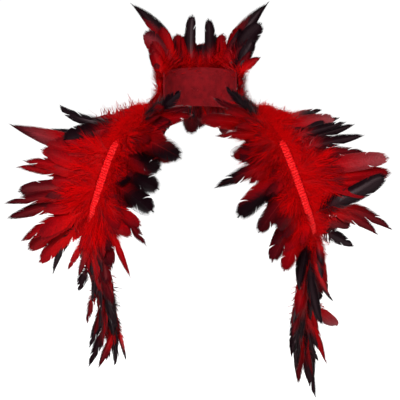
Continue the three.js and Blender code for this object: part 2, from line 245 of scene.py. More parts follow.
def feather_material(name, stops, let_through, roughness, gloss, gloss_tint, skew):
    """One dye lot: its colour runs along the feather, with darker streaks from barb to barb that hold the
    barbs' own tone and painted shade between them.
    """
    material, nodes, links, shader = new_material("feather_" + name)
    set_inputs(
        shader, {"Roughness": roughness, "Specular IOR Level": gloss, "Specular Tint": gloss_tint}
    )
    place = nodes.new("ShaderNodeUVMap")
    place.uv_map = "vane"
    stretch = nodes.new("ShaderNodeMapping")
    stretch.inputs["Scale"].default_value = STREAK_SCALE
    links.new(place.outputs["UV"], stretch.inputs["Vector"])
    streak = nodes.new("ShaderNodeTexNoise")
    set_inputs(streak, {"Scale": 1.0, "Detail": 3.0})
    links.new(stretch.outputs["Vector"], streak.inputs["Vector"])
    split = nodes.new("ShaderNodeSeparateXYZ")
    links.new(place.outputs["UV"], split.inputs["Vector"])
    ragged = nodes.new("ShaderNodeMath")
    ragged.operation = "MULTIPLY_ADD"
    ragged.inputs[1].default_value = DYE_RAGGED
    links.new(streak.outputs["Fac"], ragged.inputs[0])
    links.new(split.outputs["Y"], ragged.inputs[2])
    across = nodes.new("ShaderNodeMapRange")
    set_inputs(across, {"To Min": -(DYE_RAGGED + skew) / 2, "To Max": -(DYE_RAGGED - skew) / 2})
    links.new(split.outputs["X"], across.inputs["Value"])
    dye_line = nodes.new("ShaderNodeMath")
    links.new(ragged.outputs[0], dye_line.inputs[0])
    links.new(across.outputs["Result"], dye_line.inputs[1])
    ramp = colour_ramp(nodes, [(share, (*dye, 1)) for share, dye in stops])
    links.new(dye_line.outputs[0], ramp.inputs["Fac"])
    # Painted shade: the streaks darken the dye between the barbs.
    depth = nodes.new("ShaderNodeMapRange")
    set_inputs(depth, STREAK_PAINTED_SHADE)
    links.new(streak.outputs["Fac"], depth.inputs["Value"])
    colour = nodes.new("ShaderNodeMix")
    colour.data_type = "RGBA"
    colour.blend_type = "MULTIPLY"
    colour.inputs["Factor"].default_value = 1.0
    links.new(ramp.outputs["Color"], colour.inputs[MIX_COLOUR_A])
    links.new(depth.outputs["Result"], colour.inputs[MIX_COLOUR_B])
    links.new(colour.outputs[MIX_COLOUR_OUT], shader.inputs["Base Color"])
    through = nodes.new("ShaderNodeBsdfTranslucent")
    links.new(colour.outputs[MIX_COLOUR_OUT], through.inputs["Color"])
    both = nodes.new("ShaderNodeMixShader")
    both.inputs["Fac"].default_value = let_through
    links.new(shader.outputs["BSDF"], both.inputs[1])
    links.new(through.outputs["BSDF"], both.inputs[2])
    links.new(both.outputs["Shader"], nodes["Material Output"].inputs["Surface"])
    return material


def quill_material():
    """Stripped quill: dull red, darker towards the tip."""
    material, nodes, links, shader = new_material("feather_quill")
    set_inputs(shader, {"Roughness": 0.5, "Specular IOR Level": 0.15})
    place = nodes.new("ShaderNodeUVMap")
    place.uv_map = "vane"
    split = nodes.new("ShaderNodeSeparateXYZ")
    links.new(place.outputs["UV"], split.inputs["Vector"])
    ramp = colour_ramp(nodes, QUILL_STOPS)
    links.new(split.outputs["Y"], ramp.inputs["Fac"])
    links.new(ramp.outputs["Color"], shader.inputs["Base Color"])
    return material


TAPE_THREAD = 0.9 * MM
feather_materials = [feather_material(lot, *DYE_LOTS[lot]) for lot in LOTS]
feather_materials += [quill_material(), cloth_material("sewing_tape", CLOTH_RED, CLOTH_PAINTED_SHADE, TAPE_THREAD)]

OUTLINE_AT = [0.0, 0.10, 0.20, 0.35, 0.50, 0.65, 0.80, 0.90, 0.96, 1.0]
OUTLINES = {
    "round": [0.30, 0.75, 0.95, 1.0, 0.98, 0.96, 0.88, 0.70, 0.48, 0.06],
    "pointed": [0.30, 0.75, 1.0, 1.0, 0.94, 0.84, 0.62, 0.38, 0.19, 0.0],
    "lance": [0.30, 0.70, 0.90, 1.0, 0.96, 0.80, 0.52, 0.28, 0.12, 0.0],
    "fluffy": [0.30, 0.70, 0.90, 1.0, 1.0, 0.92, 0.76, 0.56, 0.36, 0.10],
}
FIRST_BARB, LAST_BARB = 0.03, 0.965
BARB_REACH_AT, BARB_REACH = [0, 0.5, 1], [0.21, 0.17, 0.045]
DOWN_REACH = 0.10
DOWN_FADE = 0.22
SPLIT_WIDTH = 0.07
SLEEK_OVERLAP, LOOSE_OVERLAP = 2.4, 0.60
DOWN_PARTS = 2
PLUME_PARTS = 2
PLUME_ROOTS = 0.62
LONG_WISP_EVERY = 5
FULL_TURN = 6.3


def pattern_of(flat, tone, vane_faces):
    """A flat feather as arrays of points, faces and dye shifts, the vane's faces first."""
    flat.verts.index_update()
    flat.faces.ensure_lookup_table()
    pattern = {
        "points": np.array([v.co for v in flat.verts]),
        "faces": np.array([[v.index for v in f.verts] for f in flat.faces]),
        "shifts": np.array([v[tone] for v in flat.verts]),
        "vane_faces": vane_faces,
    }
    flat.free()
    return pattern


def cut_feather(shape, barbs, barb_parts, downy, frayed, quill, quill_parts, seed):
    """A flat feather one unit long and two half-widths wide: barb ribbons, quill and down.

    The barbs are loose and thin up to the share of the length called downy, and past it
    they lie close together as a sleek vane, with one split of the size called frayed.
    """
    draw = np.random.default_rng(seed)
    outline = OUTLINES[shape]
    flat = bmesh.new()
    tone = flat.verts.layers.float.new("dye_shift")
    for edge in (-1, 1):
        roots = np.linspace(FIRST_BARB, LAST_BARB, barbs)
        spacing = roots[1] - roots[0]
        loose = np.clip((downy - roots) / DOWN_FADE + 0.5, 0, 1)
        reach = (1 - loose) * np.interp(roots, BARB_REACH_AT, BARB_REACH) + loose * DOWN_REACH
        lean = 0.25 * frayed * np.sin(roots * draw.uniform(14, 26) + draw.uniform(0, FULL_TURN))
        lean += draw.normal(0, 1, barbs) * (0.06 * frayed + 0.05 * loose)
        gap, size = draw.uniform(0.45, 0.80), frayed * draw.uniform(0.2, 1.0)
        away = (roots - gap) / SPLIT_WIDTH
        lean += size * np.sign(away) * np.clip(1 - np.abs(away), 0, 1)
        for root, ahead, stray, soft in zip(roots, reach, lean, loose):
            tip = min(root + max(ahead + stray, 0.01), 1.0)
            out = np.interp(tip, OUTLINE_AT, outline) * (1 + 0.2 * soft)
            out *= 1 + draw.normal(0, 0.4 * frayed + 0.24 * soft)
            rise = draw.normal(0, 0.012 + 0.50 * soft)
            wave, phase = soft * draw.uniform(0.0, 0.12), draw.uniform(0, FULL_TURN)
            wide = spacing * ((1 - soft) * SLEEK_OVERLAP + soft * LOOSE_OVERLAP) / 2
            pieces = barb_parts if soft < 0.5 else DOWN_PARTS
            shift = draw.normal(0, 0.03)
            ribbon = bmesh.ops.create_grid(flat, x_segments=pieces, y_segments=1, size=1)["verts"]
            for vert in ribbon:
                far, rim = (vert.co.x + 1) / 2, vert.co.y
                vert.co = (
                    root + (tip - root) * (0.5 * far + 0.5 * far * far)
                    + rim * wide * (1 - 0.7 * far**4),
                    edge * out * (1.25 * far - 0.25 * far * far),
                    rise * far * far + wave * far * math.sin(5 * far + phase) + rim * 0.03,
                )
                vert[tone] = shift
    vane_faces = len(flat.faces)
    shaft = bmesh.ops.create_cone(
        flat, cap_ends=False, segments=4, radius1=quill, radius2=quill / 4, depth=1
    )["verts"]
    for vert in shaft:
        x, y, z = vert.co
        vert.co = (z + 0.5 - 0.02, x, y + 0.008)
    for cut in range(1, quill_parts):
        flat.faces.ensure_lookup_table()
        shaft_faces = flat.faces[vane_faces:]
        edges = {e for f in shaft_faces for e in f.edges}
        verts = {v for f in shaft_faces for v in f.verts}
        bmesh.ops.bisect_plane(
            flat, geom=[*verts, *edges, *shaft_faces], dist=1e-6,
            plane_co=(cut / quill_parts, 0, 0), plane_no=(1, 0, 0),
        )
    return pattern_of(flat, tone, vane_faces)


def cut_plume(barbs, seed):
    """A flat soft feather without a stiff quill: loose barbs that stream towards its tip."""
    draw = np.random.default_rng(seed)
    flat = bmesh.new()
    tone = flat.verts.layers.float.new("dye_shift")
    for barb in range(barbs):
        root = PLUME_ROOTS * barb / barbs
        tip = min(root + draw.uniform(0.26, 0.50), 1.0)
        out = draw.uniform(-1.1, 1.1) * np.interp(tip, OUTLINE_AT, OUTLINES["fluffy"])
        rise, bow = draw.normal(0, 0.16), draw.normal(0, 0.10)
        wide, shift = draw.uniform(0.022, 0.048), draw.normal(0, 0.06)
        if barb % LONG_WISP_EVERY == 0:
            tip, out, rise, wide = tip + 0.12, 1.4 * out, 2.0 * rise, 0.020
        ribbon = bmesh.ops.create_grid(flat, x_segments=PLUME_PARTS, y_segments=1, size=1)["verts"]
        for vert in ribbon:
            far, rim = (vert.co.x + 1) / 2, vert.co.y
            vert.co = (
                root + (tip - root) * far,
                out * far**0.8 + bow * math.sin(3.1 * far) + rim * wide * (1 - 0.9 * far * far),
                rise * far * far + 0.6 * bow * far,
            )
            vert[tone] = shift
    return pattern_of(flat, tone, len(flat.faces))


CUTS = {
    # outline, barbs a side and parts of each, downy, frayed, quill and parts of it, then seeds
    "broad": ("round", 92, 3, 0.26, 0.018, 0.030, 9, (11, 12, 13)),
    "hackle": ("pointed", 92, 3, 0.30, 0.034, 0.030, 9, (21, 22, 23)),
    "horn": ("lance", 92, 3, 0.20, 0.006, 0.030, 9, (25, 26)),
    "loose": ("fluffy", 84, 2, 0.80, 0.040, 0.022, 6, (27, 28)),
    "ragged": ("pointed", 64, 2, 0.50, 0.070, 0.022, 6, (37, 38)),
    "under": ("round", 40, 2, 0.30, 0.020, 0.020, 4, (31, 32, 33)),
    "slim": ("pointed", 40, 2, 0.30, 0.026, 0.020, 4, (34, 35, 36)),
}
PLUME_BARBS, PLUME_SEEDS = 24, range(41, 49)
PATTERNS = {name: [cut_feather(*cut, seed) for seed in seeds] for name, (*cut, seeds) in CUTS.items()}
PATTERNS["fluff"] = [cut_plume(PLUME_BARBS, seed) for seed in PLUME_SEEDS]
FEATHER_COLUMNS = ("at", "length", "width", "sweep", "turn", "lift", "droop", "roll", "lot", "cut")
QUILL_STEPS = 24
QUILL_TWIST = 9
VANE_CAMBER = (0.04, 0.32)
DYE_STRAY = 0.03
VANE_UV_HALF = 0.45
UV_MARGIN = 0.005


def unit(v):
    return v / np.linalg.norm(v, axis=-1, keepdims=True)


def bend_feather(row, seat, side, reach, raised, draw):
    """Lays a flat feather along its curved quill, from a seat: place, along, face and across."""
    place, along, face, across = seat
    away = side * across
    share = np.linspace(0, 1, QUILL_STEPS + 1)

    def heading(s):
        sweep = np.radians(row["sweep"] + row["turn"] * s)[:, None]
        lift = np.radians(row["lift"] - row["droop"] * s)[:, None]
        level = np.cos(sweep) * away + np.sin(sweep) * along
        return np.cos(lift) * level + np.sin(lift) * face

    length, half = row["length"] * MM, row["width"] * MM / 2
    steps = heading((share[1:] + share[:-1]) / 2) * length / QUILL_STEPS
    path = place + reach * away + raised * face + np.vstack([np.zeros(3), np.cumsum(steps, 0)])
    ahead = unit(heading(share))
    sideways = unit(np.cross(ahead, face))
    up = np.cross(sideways, ahead)
    up *= np.sign((up @ face).mean() or 1)
    twist = row["roll"] * np.minimum(1, 3 * share) + draw.normal(0, QUILL_TWIST) * share
    twist = np.radians(twist)[:, None]
    sideways, up = (
        sideways * np.cos(twist) + np.cross(ahead, sideways) * np.sin(twist),
        up * np.cos(twist) + np.cross(ahead, up) * np.sin(twist),
    )
    pattern = PATTERNS[row["cut"]][draw.integers(len(PATTERNS[row["cut"]]))]
    s, x, z = pattern["points"].T
    x = x * draw.choice((-1.0, 1.0))
    camber = draw.uniform(*VANE_CAMBER)

    def on(line):
        return np.stack([np.interp(s, share, line[:, k]) for k in range(3)], -1)

    over = np.maximum(s - 1, 0)[:, None] * length
    points = on(path) + over * ahead[-1] + (x * half)[:, None] * on(sideways)
    points += ((z - camber * x * x) * half)[:, None] * on(up)
    along_vane = s + pattern["shifts"] + draw.normal(0, DYE_STRAY)
    uv = np.stack([0.5 + VANE_UV_HALF * np.clip(x, -1, 1), along_vane], -1)
    uv = np.clip(uv, UV_MARGIN, 1 - UV_MARGIN)
    strips = np.full(len(pattern["faces"]), LOTS.index(row["lot"]))
    if row["lot"] not in DARK_LOTS:
        strips[pattern["vane_faces"]:] = QUILL_STRIP
    return points, pattern["faces"], uv, strips


def tape(seats, low, high, raised, wall):
    """The sewing tape under a row: a strip of cloth from low to high across the seats."""
    strip = bmesh.new()
    bmesh.ops.create_grid(strip, x_segments=len(seats) - 1, y_segments=1, size=1)
    for vert in strip.verts:
        place, along, face, across = seats[round((vert.co.x + 1) / 2 * (len(seats) - 1))]
        vert.co = place + (low if vert.co.y < 0 else high) * across + raised * face
    bmesh.ops.recalc_face_normals(strip, faces=strip.faces)
    bmesh.ops.solidify(strip, geom=strip.faces[:], thickness=wall)
    bmesh.ops.recalc_face_normals(strip, faces=strip.faces)
    strip.verts.index_update()
    points = np.array([v.co for v in strip.verts])
    faces = np.array([[v.index for v in f.verts] for f in strip.faces])
    strip.free()
    return points, faces, np.full((len(points), 2), 0.5), np.full(len(faces), TAPE_STRIP)


def sew(name, node, parts):
    """Joins a row's tape and feathers into one piece that stands for its node."""
    starts = np.cumsum([0] + [len(p[0]) for p in parts[:-1]])
    points = np.vstack([p[0] for p in parts])
    faces = np.vstack([p[1] + start for p, start in zip(parts, starts)])
    uv = np.vstack([p[2] for p in parts])
    strips = np.concatenate([p[3] for p in parts])
    mesh = bpy.data.meshes.new(name)
    mesh.from_pydata(points.tolist(), [], faces.tolist())
    corner_uv = uv[faces.ravel()]
    mesh.uv_layers.new(name="vane").data.foreach_set("uv", corner_uv.ravel())
    shared = corner_uv.copy()
    shared[:, 0] = (np.repeat(strips, 4) + shared[:, 0]) / BAKE_STRIPS
    mesh.uv_layers.new(name="OFBake").data.foreach_set("uv", shared.ravel())
    for material in feather_materials:
        mesh.materials.append(material)
    mesh.polygons.foreach_set("material_index", strips.astype(np.int32))
    mesh.polygons.foreach_set("use_smooth", strips != TAPE_STRIP)
    mesh.update()
    piece = bpy.data.objects.new(name, mesh)
    bpy.context.collection.objects.link(piece)
    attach(piece, "root")
    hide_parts(node)


def feather_row(values):
    return dict(zip(FEATHER_COLUMNS, values))


def along_row(count, start, end, draw):
    """Places from start to end of a row, each by chance within its share of it."""
    for step in range(count):
        yield start + (end - start) * (step + draw.uniform(0, 1)) / count


def within(low, high):
    """A measure that lies anywhere from low to high."""
    return lambda draw: draw.uniform(low, high)


def about(middle, spread):
    """A measure that strays to both sides of a middle."""
    return lambda draw: draw.normal(middle, spread)


def pick(names, draw):
    """One name as it is, or one of several by their shares."""
    return names if isinstance(names, str) else draw.choice(list(names), p=list(names.values()))


def small_feather(at, habit, lots, cuts, draw):
    """A scattered feather: the measures of its habit, length to roll, then its lot and its cut."""
    measures = [measure(draw) if callable(measure) else measure for measure in habit]
    return feather_row((at, *measures, pick(lots, draw), pick(cuts, draw)))


PLUME_TAPE_HEIGHT = 44 * MM
TAPE_WALL = 1.6 * MM
TAPE_WIDTH = 10 * MM
SEAM_GAP = 0.4 * MM
QUILL_REACH = 7.5 * MM
COLLAR_SEAT = NECK_RADIUS + COLLAR_WALL + SEAM_GAP + TAPE_WALL / 2
COLLAR_PLUME = [
    # degrees from the middle of the back, then millimetres and degrees
    (-94, 44, 20, -4, 0, 22, 6, -66, "red", "broad"),
    (-86, 48, 20, 0, -4, 23, 6, -60, "red", "broad"),
    (-76, 56, 24, -2, -6, 16, -2, -52, "red", "broad"),
    (-64, 76, 28, -4, -18, 12, -18, -44, "veined", "broad"),
    (-52, 74, 26, 0, -4, 10, -8, -24, "red", "broad"),
    (-38, 132, 26, -6, -42, 10, -22, -28, "half_black", "horn"),
    (-29, 62, 24, -4, 6, 8, -14, 0, "red", "broad"),
    (-20, 60, 22, 2, -4, 10, -8, 0, "wine", "broad"),
    (-11, 90, 18, -10, 22, 8, 0, 0, "dark", "broad"),
    (12, 84, 18, 10, -22, 8, 0, 0, "dark", "broad"),
    (20, 60, 22, -2, 4, 10, -14, 0, "wine", "broad"),
    (29, 62, 24, 4, -6, 8, -12, 0, "red", "broad"),
    (38, 132, 28, 12, 30, 10, -18, 28, "half_black", "horn"),
    (51, 74, 26, 0, 6, 10, -8, 24, "dipped", "broad"),
    (61, 92, 30, 4, 24, 12, -26, 44, "dark", "broad"),
    (75, 62, 22, 8, 12, 18, -8, 50, "black", "broad"),
    (86, 46, 16, 2, 2, 24, -4, 58, "wine", "hackle"),
    (94, 52, 16, 12, 24, 26, -34, 70, "red", "hackle"),
]
PLUME_TAPE_SPREAD, PLUME_TAPE_SEATS = 97, 49
PLUME_SEED = 101
PLUME_UNDER, PLUME_UNDER_SPREAD = 40, 95
PLUME_UNDER_HABIT = (within(40, 62), within(20, 28), about(0, 10), about(0, 10), within(10, 22), about(-6, 8))
PLUME_UNDER_REACH = (2, 7)
RIGHT_UNDER_LOTS = {"red": 0.7, "wine": 0.3}
LEFT_UNDER_LOTS = {"red": 0.2, "wine": 0.5, "dipped": 0.3}
PLUME_FLUFF, PLUME_FLUFF_SPREAD = 360, 96
PLUME_FLUFF_HABIT = (within(30, 58), within(16, 26), about(0, 12), about(0, 12), within(4, 22), about(0, 12))
PLUME_FLUFF_REACH = (-4, 5)
PLUME_FLUFF_RAISED = 1.2 * MM
BRIGHT_FLUFF = {"down": 0.5, "red": 0.35, "wine": 0.15}
DUSKY_FLUFF = {"red": 0.15, "wine": 0.35, "dark": 0.5}
THROAT = 68
THROAT_ROLL = 60
THROAT_UNDER = 0.52
THROAT_FLUFF, BACK_FLUFF = (0.75, 42), (1.0, 18)
FLUFF_ROLLS = 84
DUSKY_SIDE = 50


def collar_seat(degrees, height):
    """Where a tape lies round the collar: place, along, face and across."""
    turn = math.radians(degrees)
    face = np.array([math.sin(turn), math.cos(turn), 0])
    along = np.array([math.cos(turn), -math.sin(turn), 0])
    place = face * COLLAR_SEAT + np.array([0, 0, height])
    return place, along, face, np.array([0.0, 0.0, 1.0])


def collar_tape(height, spread, seats):
    """A tape round the collar as far as spread degrees to both sides."""
    line = [collar_seat(a, height) for a in np.linspace(-spread, spread, seats)]
    return tape(line, -TAPE_WIDTH / 2, TAPE_WIDTH / 2, -TAPE_WALL / 2, TAPE_WALL)


draw = np.random.default_rng(PLUME_SEED)
parts = [collar_tape(PLUME_TAPE_HEIGHT, PLUME_TAPE_SPREAD, PLUME_TAPE_SEATS)]
for values in COLLAR_PLUME:
    row = feather_row(values)
    parts.append(bend_feather(row, collar_seat(row["at"], PLUME_TAPE_HEIGHT), 1, QUILL_REACH, 0, draw))
for at in along_row(PLUME_UNDER, -PLUME_UNDER_SPREAD, PLUME_UNDER_SPREAD, draw):
    roll = math.copysign(THROAT_ROLL, at) if abs(at) > THROAT else 0
    lots = LEFT_UNDER_LOTS if at > 0 else RIGHT_UNDER_LOTS
    row = small_feather(at, (*PLUME_UNDER_HABIT, roll), lots, "under", draw)
    if abs(at) > THROAT:
        row["length"] *= THROAT_UNDER
        row["width"] *= THROAT_UNDER
    reach = draw.uniform(*PLUME_UNDER_REACH) * MM
    parts.append(bend_feather(row, collar_seat(at, PLUME_TAPE_HEIGHT), 1, reach, 0, draw))
for at in along_row(PLUME_FLUFF, -PLUME_FLUFF_SPREAD, PLUME_FLUFF_SPREAD, draw):
    roll = math.copysign(THROAT_ROLL, at) if abs(at) > FLUFF_ROLLS else 0
    lots = DUSKY_FLUFF if at > DUSKY_SIDE else BRIGHT_FLUFF
    row = small_feather(at, (*PLUME_FLUFF_HABIT, roll), lots, "fluff", draw)
    shrink, drop = THROAT_FLUFF if abs(at) > THROAT else BACK_FLUFF
    row["length"] *= shrink
    seat = collar_seat(at, PLUME_TAPE_HEIGHT - draw.uniform(0, drop) * MM)
    reach = draw.uniform(*PLUME_FLUFF_REACH) * MM
    parts.append(bend_feather(row, seat, 1, reach, PLUME_FLUFF_RAISED, draw))
sew("collar_plume_feathers", "collar_plume", parts)

# Collar ruff
# A shorter row of the same feathers hangs from a second tape round the outside of
# the collar and covers its foot at the back and sides.
RUFF_TAPE_HEIGHT = 30 * MM
RUFF_SPREAD = 76
RUFF_COUNT = 13
RUFF_REACH = -2.5 * MM
RUFF_HABITS = [
    (84, 30, -4, 6, 46, 46, 0, "wine", "broad"),
    (74, 28, 6, -6, 58, 50, 0, "red", "broad"),
    (90, 30, 2, 4, 40, 44, 0, "wine", "broad"),
]
RUFF_TAPE_SPREAD, RUFF_TAPE_SEATS = 80, 41
RUFF_SEED = 202
RUFF_UNDER, RUFF_FLUFF, RUFF_SMALL_SPREAD = 30, 280, 78
RUFF_UNDER_HABIT = (
    within(48, 72), within(24, 30), about(0, 10), about(0, 8), within(30, 56), within(34, 50), 0,
)
RUFF_UNDER_LOTS = {"red": 0.5, "wine": 0.3, "dipped": 0.2}
RUFF_FLUFF_HABIT = (
    within(40, 72), within(20, 30), about(0, 12), about(0, 10), within(30, 58), within(30, 50), 0,
)
RUFF_FLUFF_LOTS = {"down": 0.5, "red": 0.3, "wine": 0.2}
FLUFF_RAISED = 0.6 * MM
draw = np.random.default_rng(RUFF_SEED)
parts = [collar_tape(RUFF_TAPE_HEIGHT, RUFF_TAPE_SPREAD, RUFF_TAPE_SEATS)]
for step in range(RUFF_COUNT):
    at = RUFF_SPREAD * (2 * step / (RUFF_COUNT - 1) - 1)
    row = feather_row((at, *RUFF_HABITS[step % len(RUFF_HABITS)]))
    parts.append(bend_feather(row, collar_seat(at, RUFF_TAPE_HEIGHT), -1, RUFF_REACH, 0, draw))
for at in along_row(RUFF_UNDER, -RUFF_SMALL_SPREAD, RUFF_SMALL_SPREAD, draw):
    row = small_feather(at, RUFF_UNDER_HABIT, RUFF_UNDER_LOTS, "under", draw)
    parts.append(bend_feather(row, collar_seat(at, RUFF_TAPE_HEIGHT), -1, RUFF_REACH, 0, draw))
for at in along_row(RUFF_FLUFF, -RUFF_SMALL_SPREAD, RUFF_SMALL_SPREAD, draw):
    row = small_feather(at, RUFF_FLUFF_HABIT, RUFF_FLUFF_LOTS, "fluff", draw)
    parts.append(bend_feather(row, collar_seat(at, RUFF_TAPE_HEIGHT), -1, RUFF_REACH, FLUFF_RAISED, draw))
sew("collar_ruff_feathers", "collar_ruff", parts)

# Outer shoulder feathers
# From the throat a strip of trim runs over each shoulder and down the front of the
# arm. Its outer row lies outwards and a little down: long dyed tail feathers over
# shorter ones, with red fluff sewn in along the tape.
ROUTES = {
    # millimetres out, front and down, then degrees facing and tilt
    "right": [
        (55.3, 9.8, -22, 80, 0), (62, 16, -4, 70, 36), (80, 25, 4, 55, 60), (108, 46, 16, 40, 46),
        (127, 66, 46, 32, 28), (141, 76, 82, 30, 12), (152, 76, 118, 35, 4), (162, 66, 154, 42, 0),
        (162, 48, 192, 50, 0), (154, 20, 238, 56, 0), (143, -8, 290, 62, 0), (133, -26, 342, 66, 0),
    ],
    "left": [
        (55.3, 9.8, -22, 80, 0), (63, 17, -4, 70, 36), (82, 28, 4, 55, 60), (108, 50, 19, 40, 46),
        (124, 66, 45, 32, 28), (139, 76, 82, 30, 12), (154, 77, 124, 33, 4), (168, 66, 170, 42, 0),
        (171, 48, 206, 50, 0), (167, 20, 250, 56, 0), (162, -8, 302, 62, 0), (161, -26, 356, 66, 0),
    ],
}
SIDES = {"right": -1, "left": 1}


def shoulder_seat(wearer_side, at):
    """Where the strip lies at a step of its route: place, along, face and across."""
    side, route = SIDES[wearer_side], np.array(ROUTES[wearer_side], float)
    stops = np.stack([side * route[:, 0], -route[:, 1], -route[:, 2]], -1) * MM
    first = min(int(at), len(stops) - 2)
    s = at - first
    b, c = stops[first], stops[first + 1]
    a = stops[first - 1] if first else 2 * b - c
    d = stops[first + 2] if first + 2 < len(stops) else 2 * c - b
    m, n = (c - a) / 2, (d - b) / 2
    place = (2 * s**3 - 3 * s**2 + 1) * b + (s**3 - 2 * s**2 + s) * m
    place = place + (3 * s**2 - 2 * s**3) * c + (s**3 - s**2) * n
    along = (6 * s**2 - 6 * s) * (b - c) + (3 * s**2 - 4 * s + 1) * m + (3 * s**2 - 2 * s) * n
    along = unit(along)
    facing, tilt = np.radians(route[first, 3:] * (1 - s) + route[first + 1, 3:] * s)
    face = np.array([
        side * math.sin(facing) * math.cos(tilt), -math.cos(facing) * math.cos(tilt), math.sin(tilt),
    ])
    face = unit(face - along * (face @ along))
    return place, along, face, np.cross(along, face) * -side


NEAR = 0.6


def between(table, at):
    """What a feather among the rows of a table is like, length to roll: the middle of three places."""
    ordered = sorted(table)
    ats = [r[0] for r in ordered]
    near = (at - NEAR, at, at + NEAR)
    return {
        column: np.median(np.interp(near, ats, [r[k] for r in ordered]))
        for k, column in enumerate(FEATHER_COLUMNS[1:8], 1)
    }


ROW_TAPE_SEATS, ROW_TAPE_INSET = 65, 0.2 * MM
FRONT = 3
SHOULDER_TOP = 2.7
THROAT_FEATHERS = 3.7
LIKE_BESIDE = 0.6
DARK_REACH = 0.45
UNDER_LIFT = 14
UNDER_WIDTH = 22
UNDER_SHARE, MORE_ON_TOP = (0.50, 0.78), 0.22
UNDER_DARK, LOWER_BY_DARK = 0.85, 8
UNDER_REACH = (3, 8)
PLAIN_LOTS = {"red": 0.6, "wine": 0.4}
UNDER_LOTS = {
    1: {"rose": "red", "veined": "red"},
    -1: {lot: "dipped" for lot in DARK_LOTS},
}
UNDER_CUTS = {"under": 0.6, "slim": 0.4}
THROAT_CUTS = {"under": 0.1, "slim": 0.9}
TUFT_FEATHERS = 24
TUFTS_BEFORE, TUFTS_AFTER = 0.3, 0.1
TUFT_REACH = (3, 7)
TUFT_LOTS = {
    1: {"down": 0.66, "red": 0.26, "wine": 0.08},
    -1: {"down": 0.50, "red": 0.32, "wine": 0.18},
}
DARK_TUFT_LOTS = {"down": 0.40, "red": 0.38, "wine": 0.22}
BESIDE_DARK = {1: 0.45, -1: 0.70}
BRAID_SHOWS = 3.3
OVER_BRAID, OVER_BRAID_ENDS = 70, (1.2, BRAID_SHOWS + 0.3)
OVER_BRAID_REACH, OVER_BRAID_RAISED = (-5, 3), 3.6 * MM
BESIDE_BRAID = 110
BESIDE_BRAID_REACH, BESIDE_BRAID_RAISED = (5.2, 7.5), 2.6 * MM
BESIDE_BRAID_LOTS = {"down": 0.7, "red": 0.3}


def dark_beside(table, at):
    """Whether one of the long black feathers of a table lies close by, on top of the others."""
    return any(row[8] in DARK_LOTS and abs(row[0] - at) < DARK_REACH for row in table)


def shoulder_row(wearer_side, table, edge, ends, under, tufts, fluff_share, draw):
    """One row of a strip: its tape, its long feathers, shorter ones under them and fluff over them."""
    seats = [shoulder_seat(wearer_side, a) for a in np.linspace(*ends, ROW_TAPE_SEATS)]
    low, high = sorted((edge * ROW_TAPE_INSET, edge * TAPE_WIDTH))
    parts = [tape(seats, low, high, -TAPE_WALL / 2, TAPE_WALL)]

    def lay(row, reach, raised):
        seat = shoulder_seat(wearer_side, row["at"])
        parts.append(bend_feather(row, seat, edge, reach, raised, draw))

    for values in table:
        lay(feather_row(values), QUILL_REACH, 0)
    first, last = table[0][0], table[-1][0]
    for at in along_row(under, first, last, draw):
        like = between(table, at)
        length, width = like["length"], max(like["width"], UNDER_WIDTH)
        lift = like["lift"] if at < FRONT else min(like["lift"], UNDER_LIFT)
        beside = min(table, key=lambda r: abs(r[0] - at))
        at_throat = edge == -1 and at < THROAT_FEATHERS
        if dark_beside(table, at) and not at_throat:
            length, lift = length * UNDER_DARK, lift - LOWER_BY_DARK
        lot = pick(PLAIN_LOTS, draw)
        may_match = not at_throat and (at > FRONT or beside[8] not in DARK_LOTS)
        if draw.uniform() < LIKE_BESIDE and may_match:
            lot = UNDER_LOTS[edge].get(beside[8], beside[8])
        share = draw.uniform(*UNDER_SHARE) + (MORE_ON_TOP if edge == 1 and at < SHOULDER_TOP else 0)
        habit = (
            length * share, within(0.8 * width, 1.1 * width), about(like["sweep"], 9),
            about(like["turn"] / 2, 8), within(lift - 4, lift + 8), about(like["droop"] + 4, 5),
            about(like["roll"], 10),
        )
        row = small_feather(at, habit, lot, THROAT_CUTS if at_throat else UNDER_CUTS, draw)
        lay(row, draw.uniform(*UNDER_REACH) * MM, 0)
    for at in along_row(tufts, first - TUFTS_BEFORE, last + TUFTS_AFTER, draw):
        at = min(max(at, ends[0]), ends[1])
        like = between(table, at)
        length = like["length"] * fluff_share
        lift = like["lift"] if at < FRONT else min(like["lift"], UNDER_LIFT)
        aim = 0.9 * like["sweep"] + draw.normal(0, 11)
        lift += draw.uniform(-6, 16)
        lots = TUFT_LOTS[edge]
        if dark_beside(table, at):
            length, lift = length * BESIDE_DARK[edge], lift - LOWER_BY_DARK
            lots = DARK_TUFT_LOTS
        habit = (
            within(0.75 * length, 1.3 * length), within(22, 34), about(aim, 7), about(4, 10),
            about(lift, 5), within(like["droop"] + 4, like["droop"] + 22), about(like["roll"], 12),
        )
        for _ in range(TUFT_FEATHERS):
            row = small_feather(at, habit, lots, "fluff", draw)
            lay(row, draw.uniform(*TUFT_REACH) * MM, FLUFF_RAISED)
    for _ in range(OVER_BRAID):
        at = draw.uniform(*OVER_BRAID_ENDS)
        like = between(table, at)
        length = like["length"] * (BESIDE_DARK[edge] if dark_beside(table, at) else 1)
        habit = (
            within(0.34 * length, 0.5 * length), within(20, 30), about(like["sweep"], 14), about(4, 10),
            within(8, 20), within(10, 30), like["roll"],
        )
        row = small_feather(at, habit, "down", "fluff", draw)
        lay(row, draw.uniform(*OVER_BRAID_REACH) * MM, OVER_BRAID_RAISED)
    for at in along_row(BESIDE_BRAID, BRAID_SHOWS, ends[1], draw):
        like = between(table, at)
        habit = (
            within(16, 30), within(12, 20), about(like["sweep"], 18), about(0, 12), within(4, 24),
            within(10, 30), like["roll"],
        )
        row = small_feather(at, habit, BESIDE_BRAID_LOTS, "fluff", draw)
        lay(row, draw.uniform(*BESIDE_BRAID_REACH) * MM, BESIDE_BRAID_RAISED)
    return parts


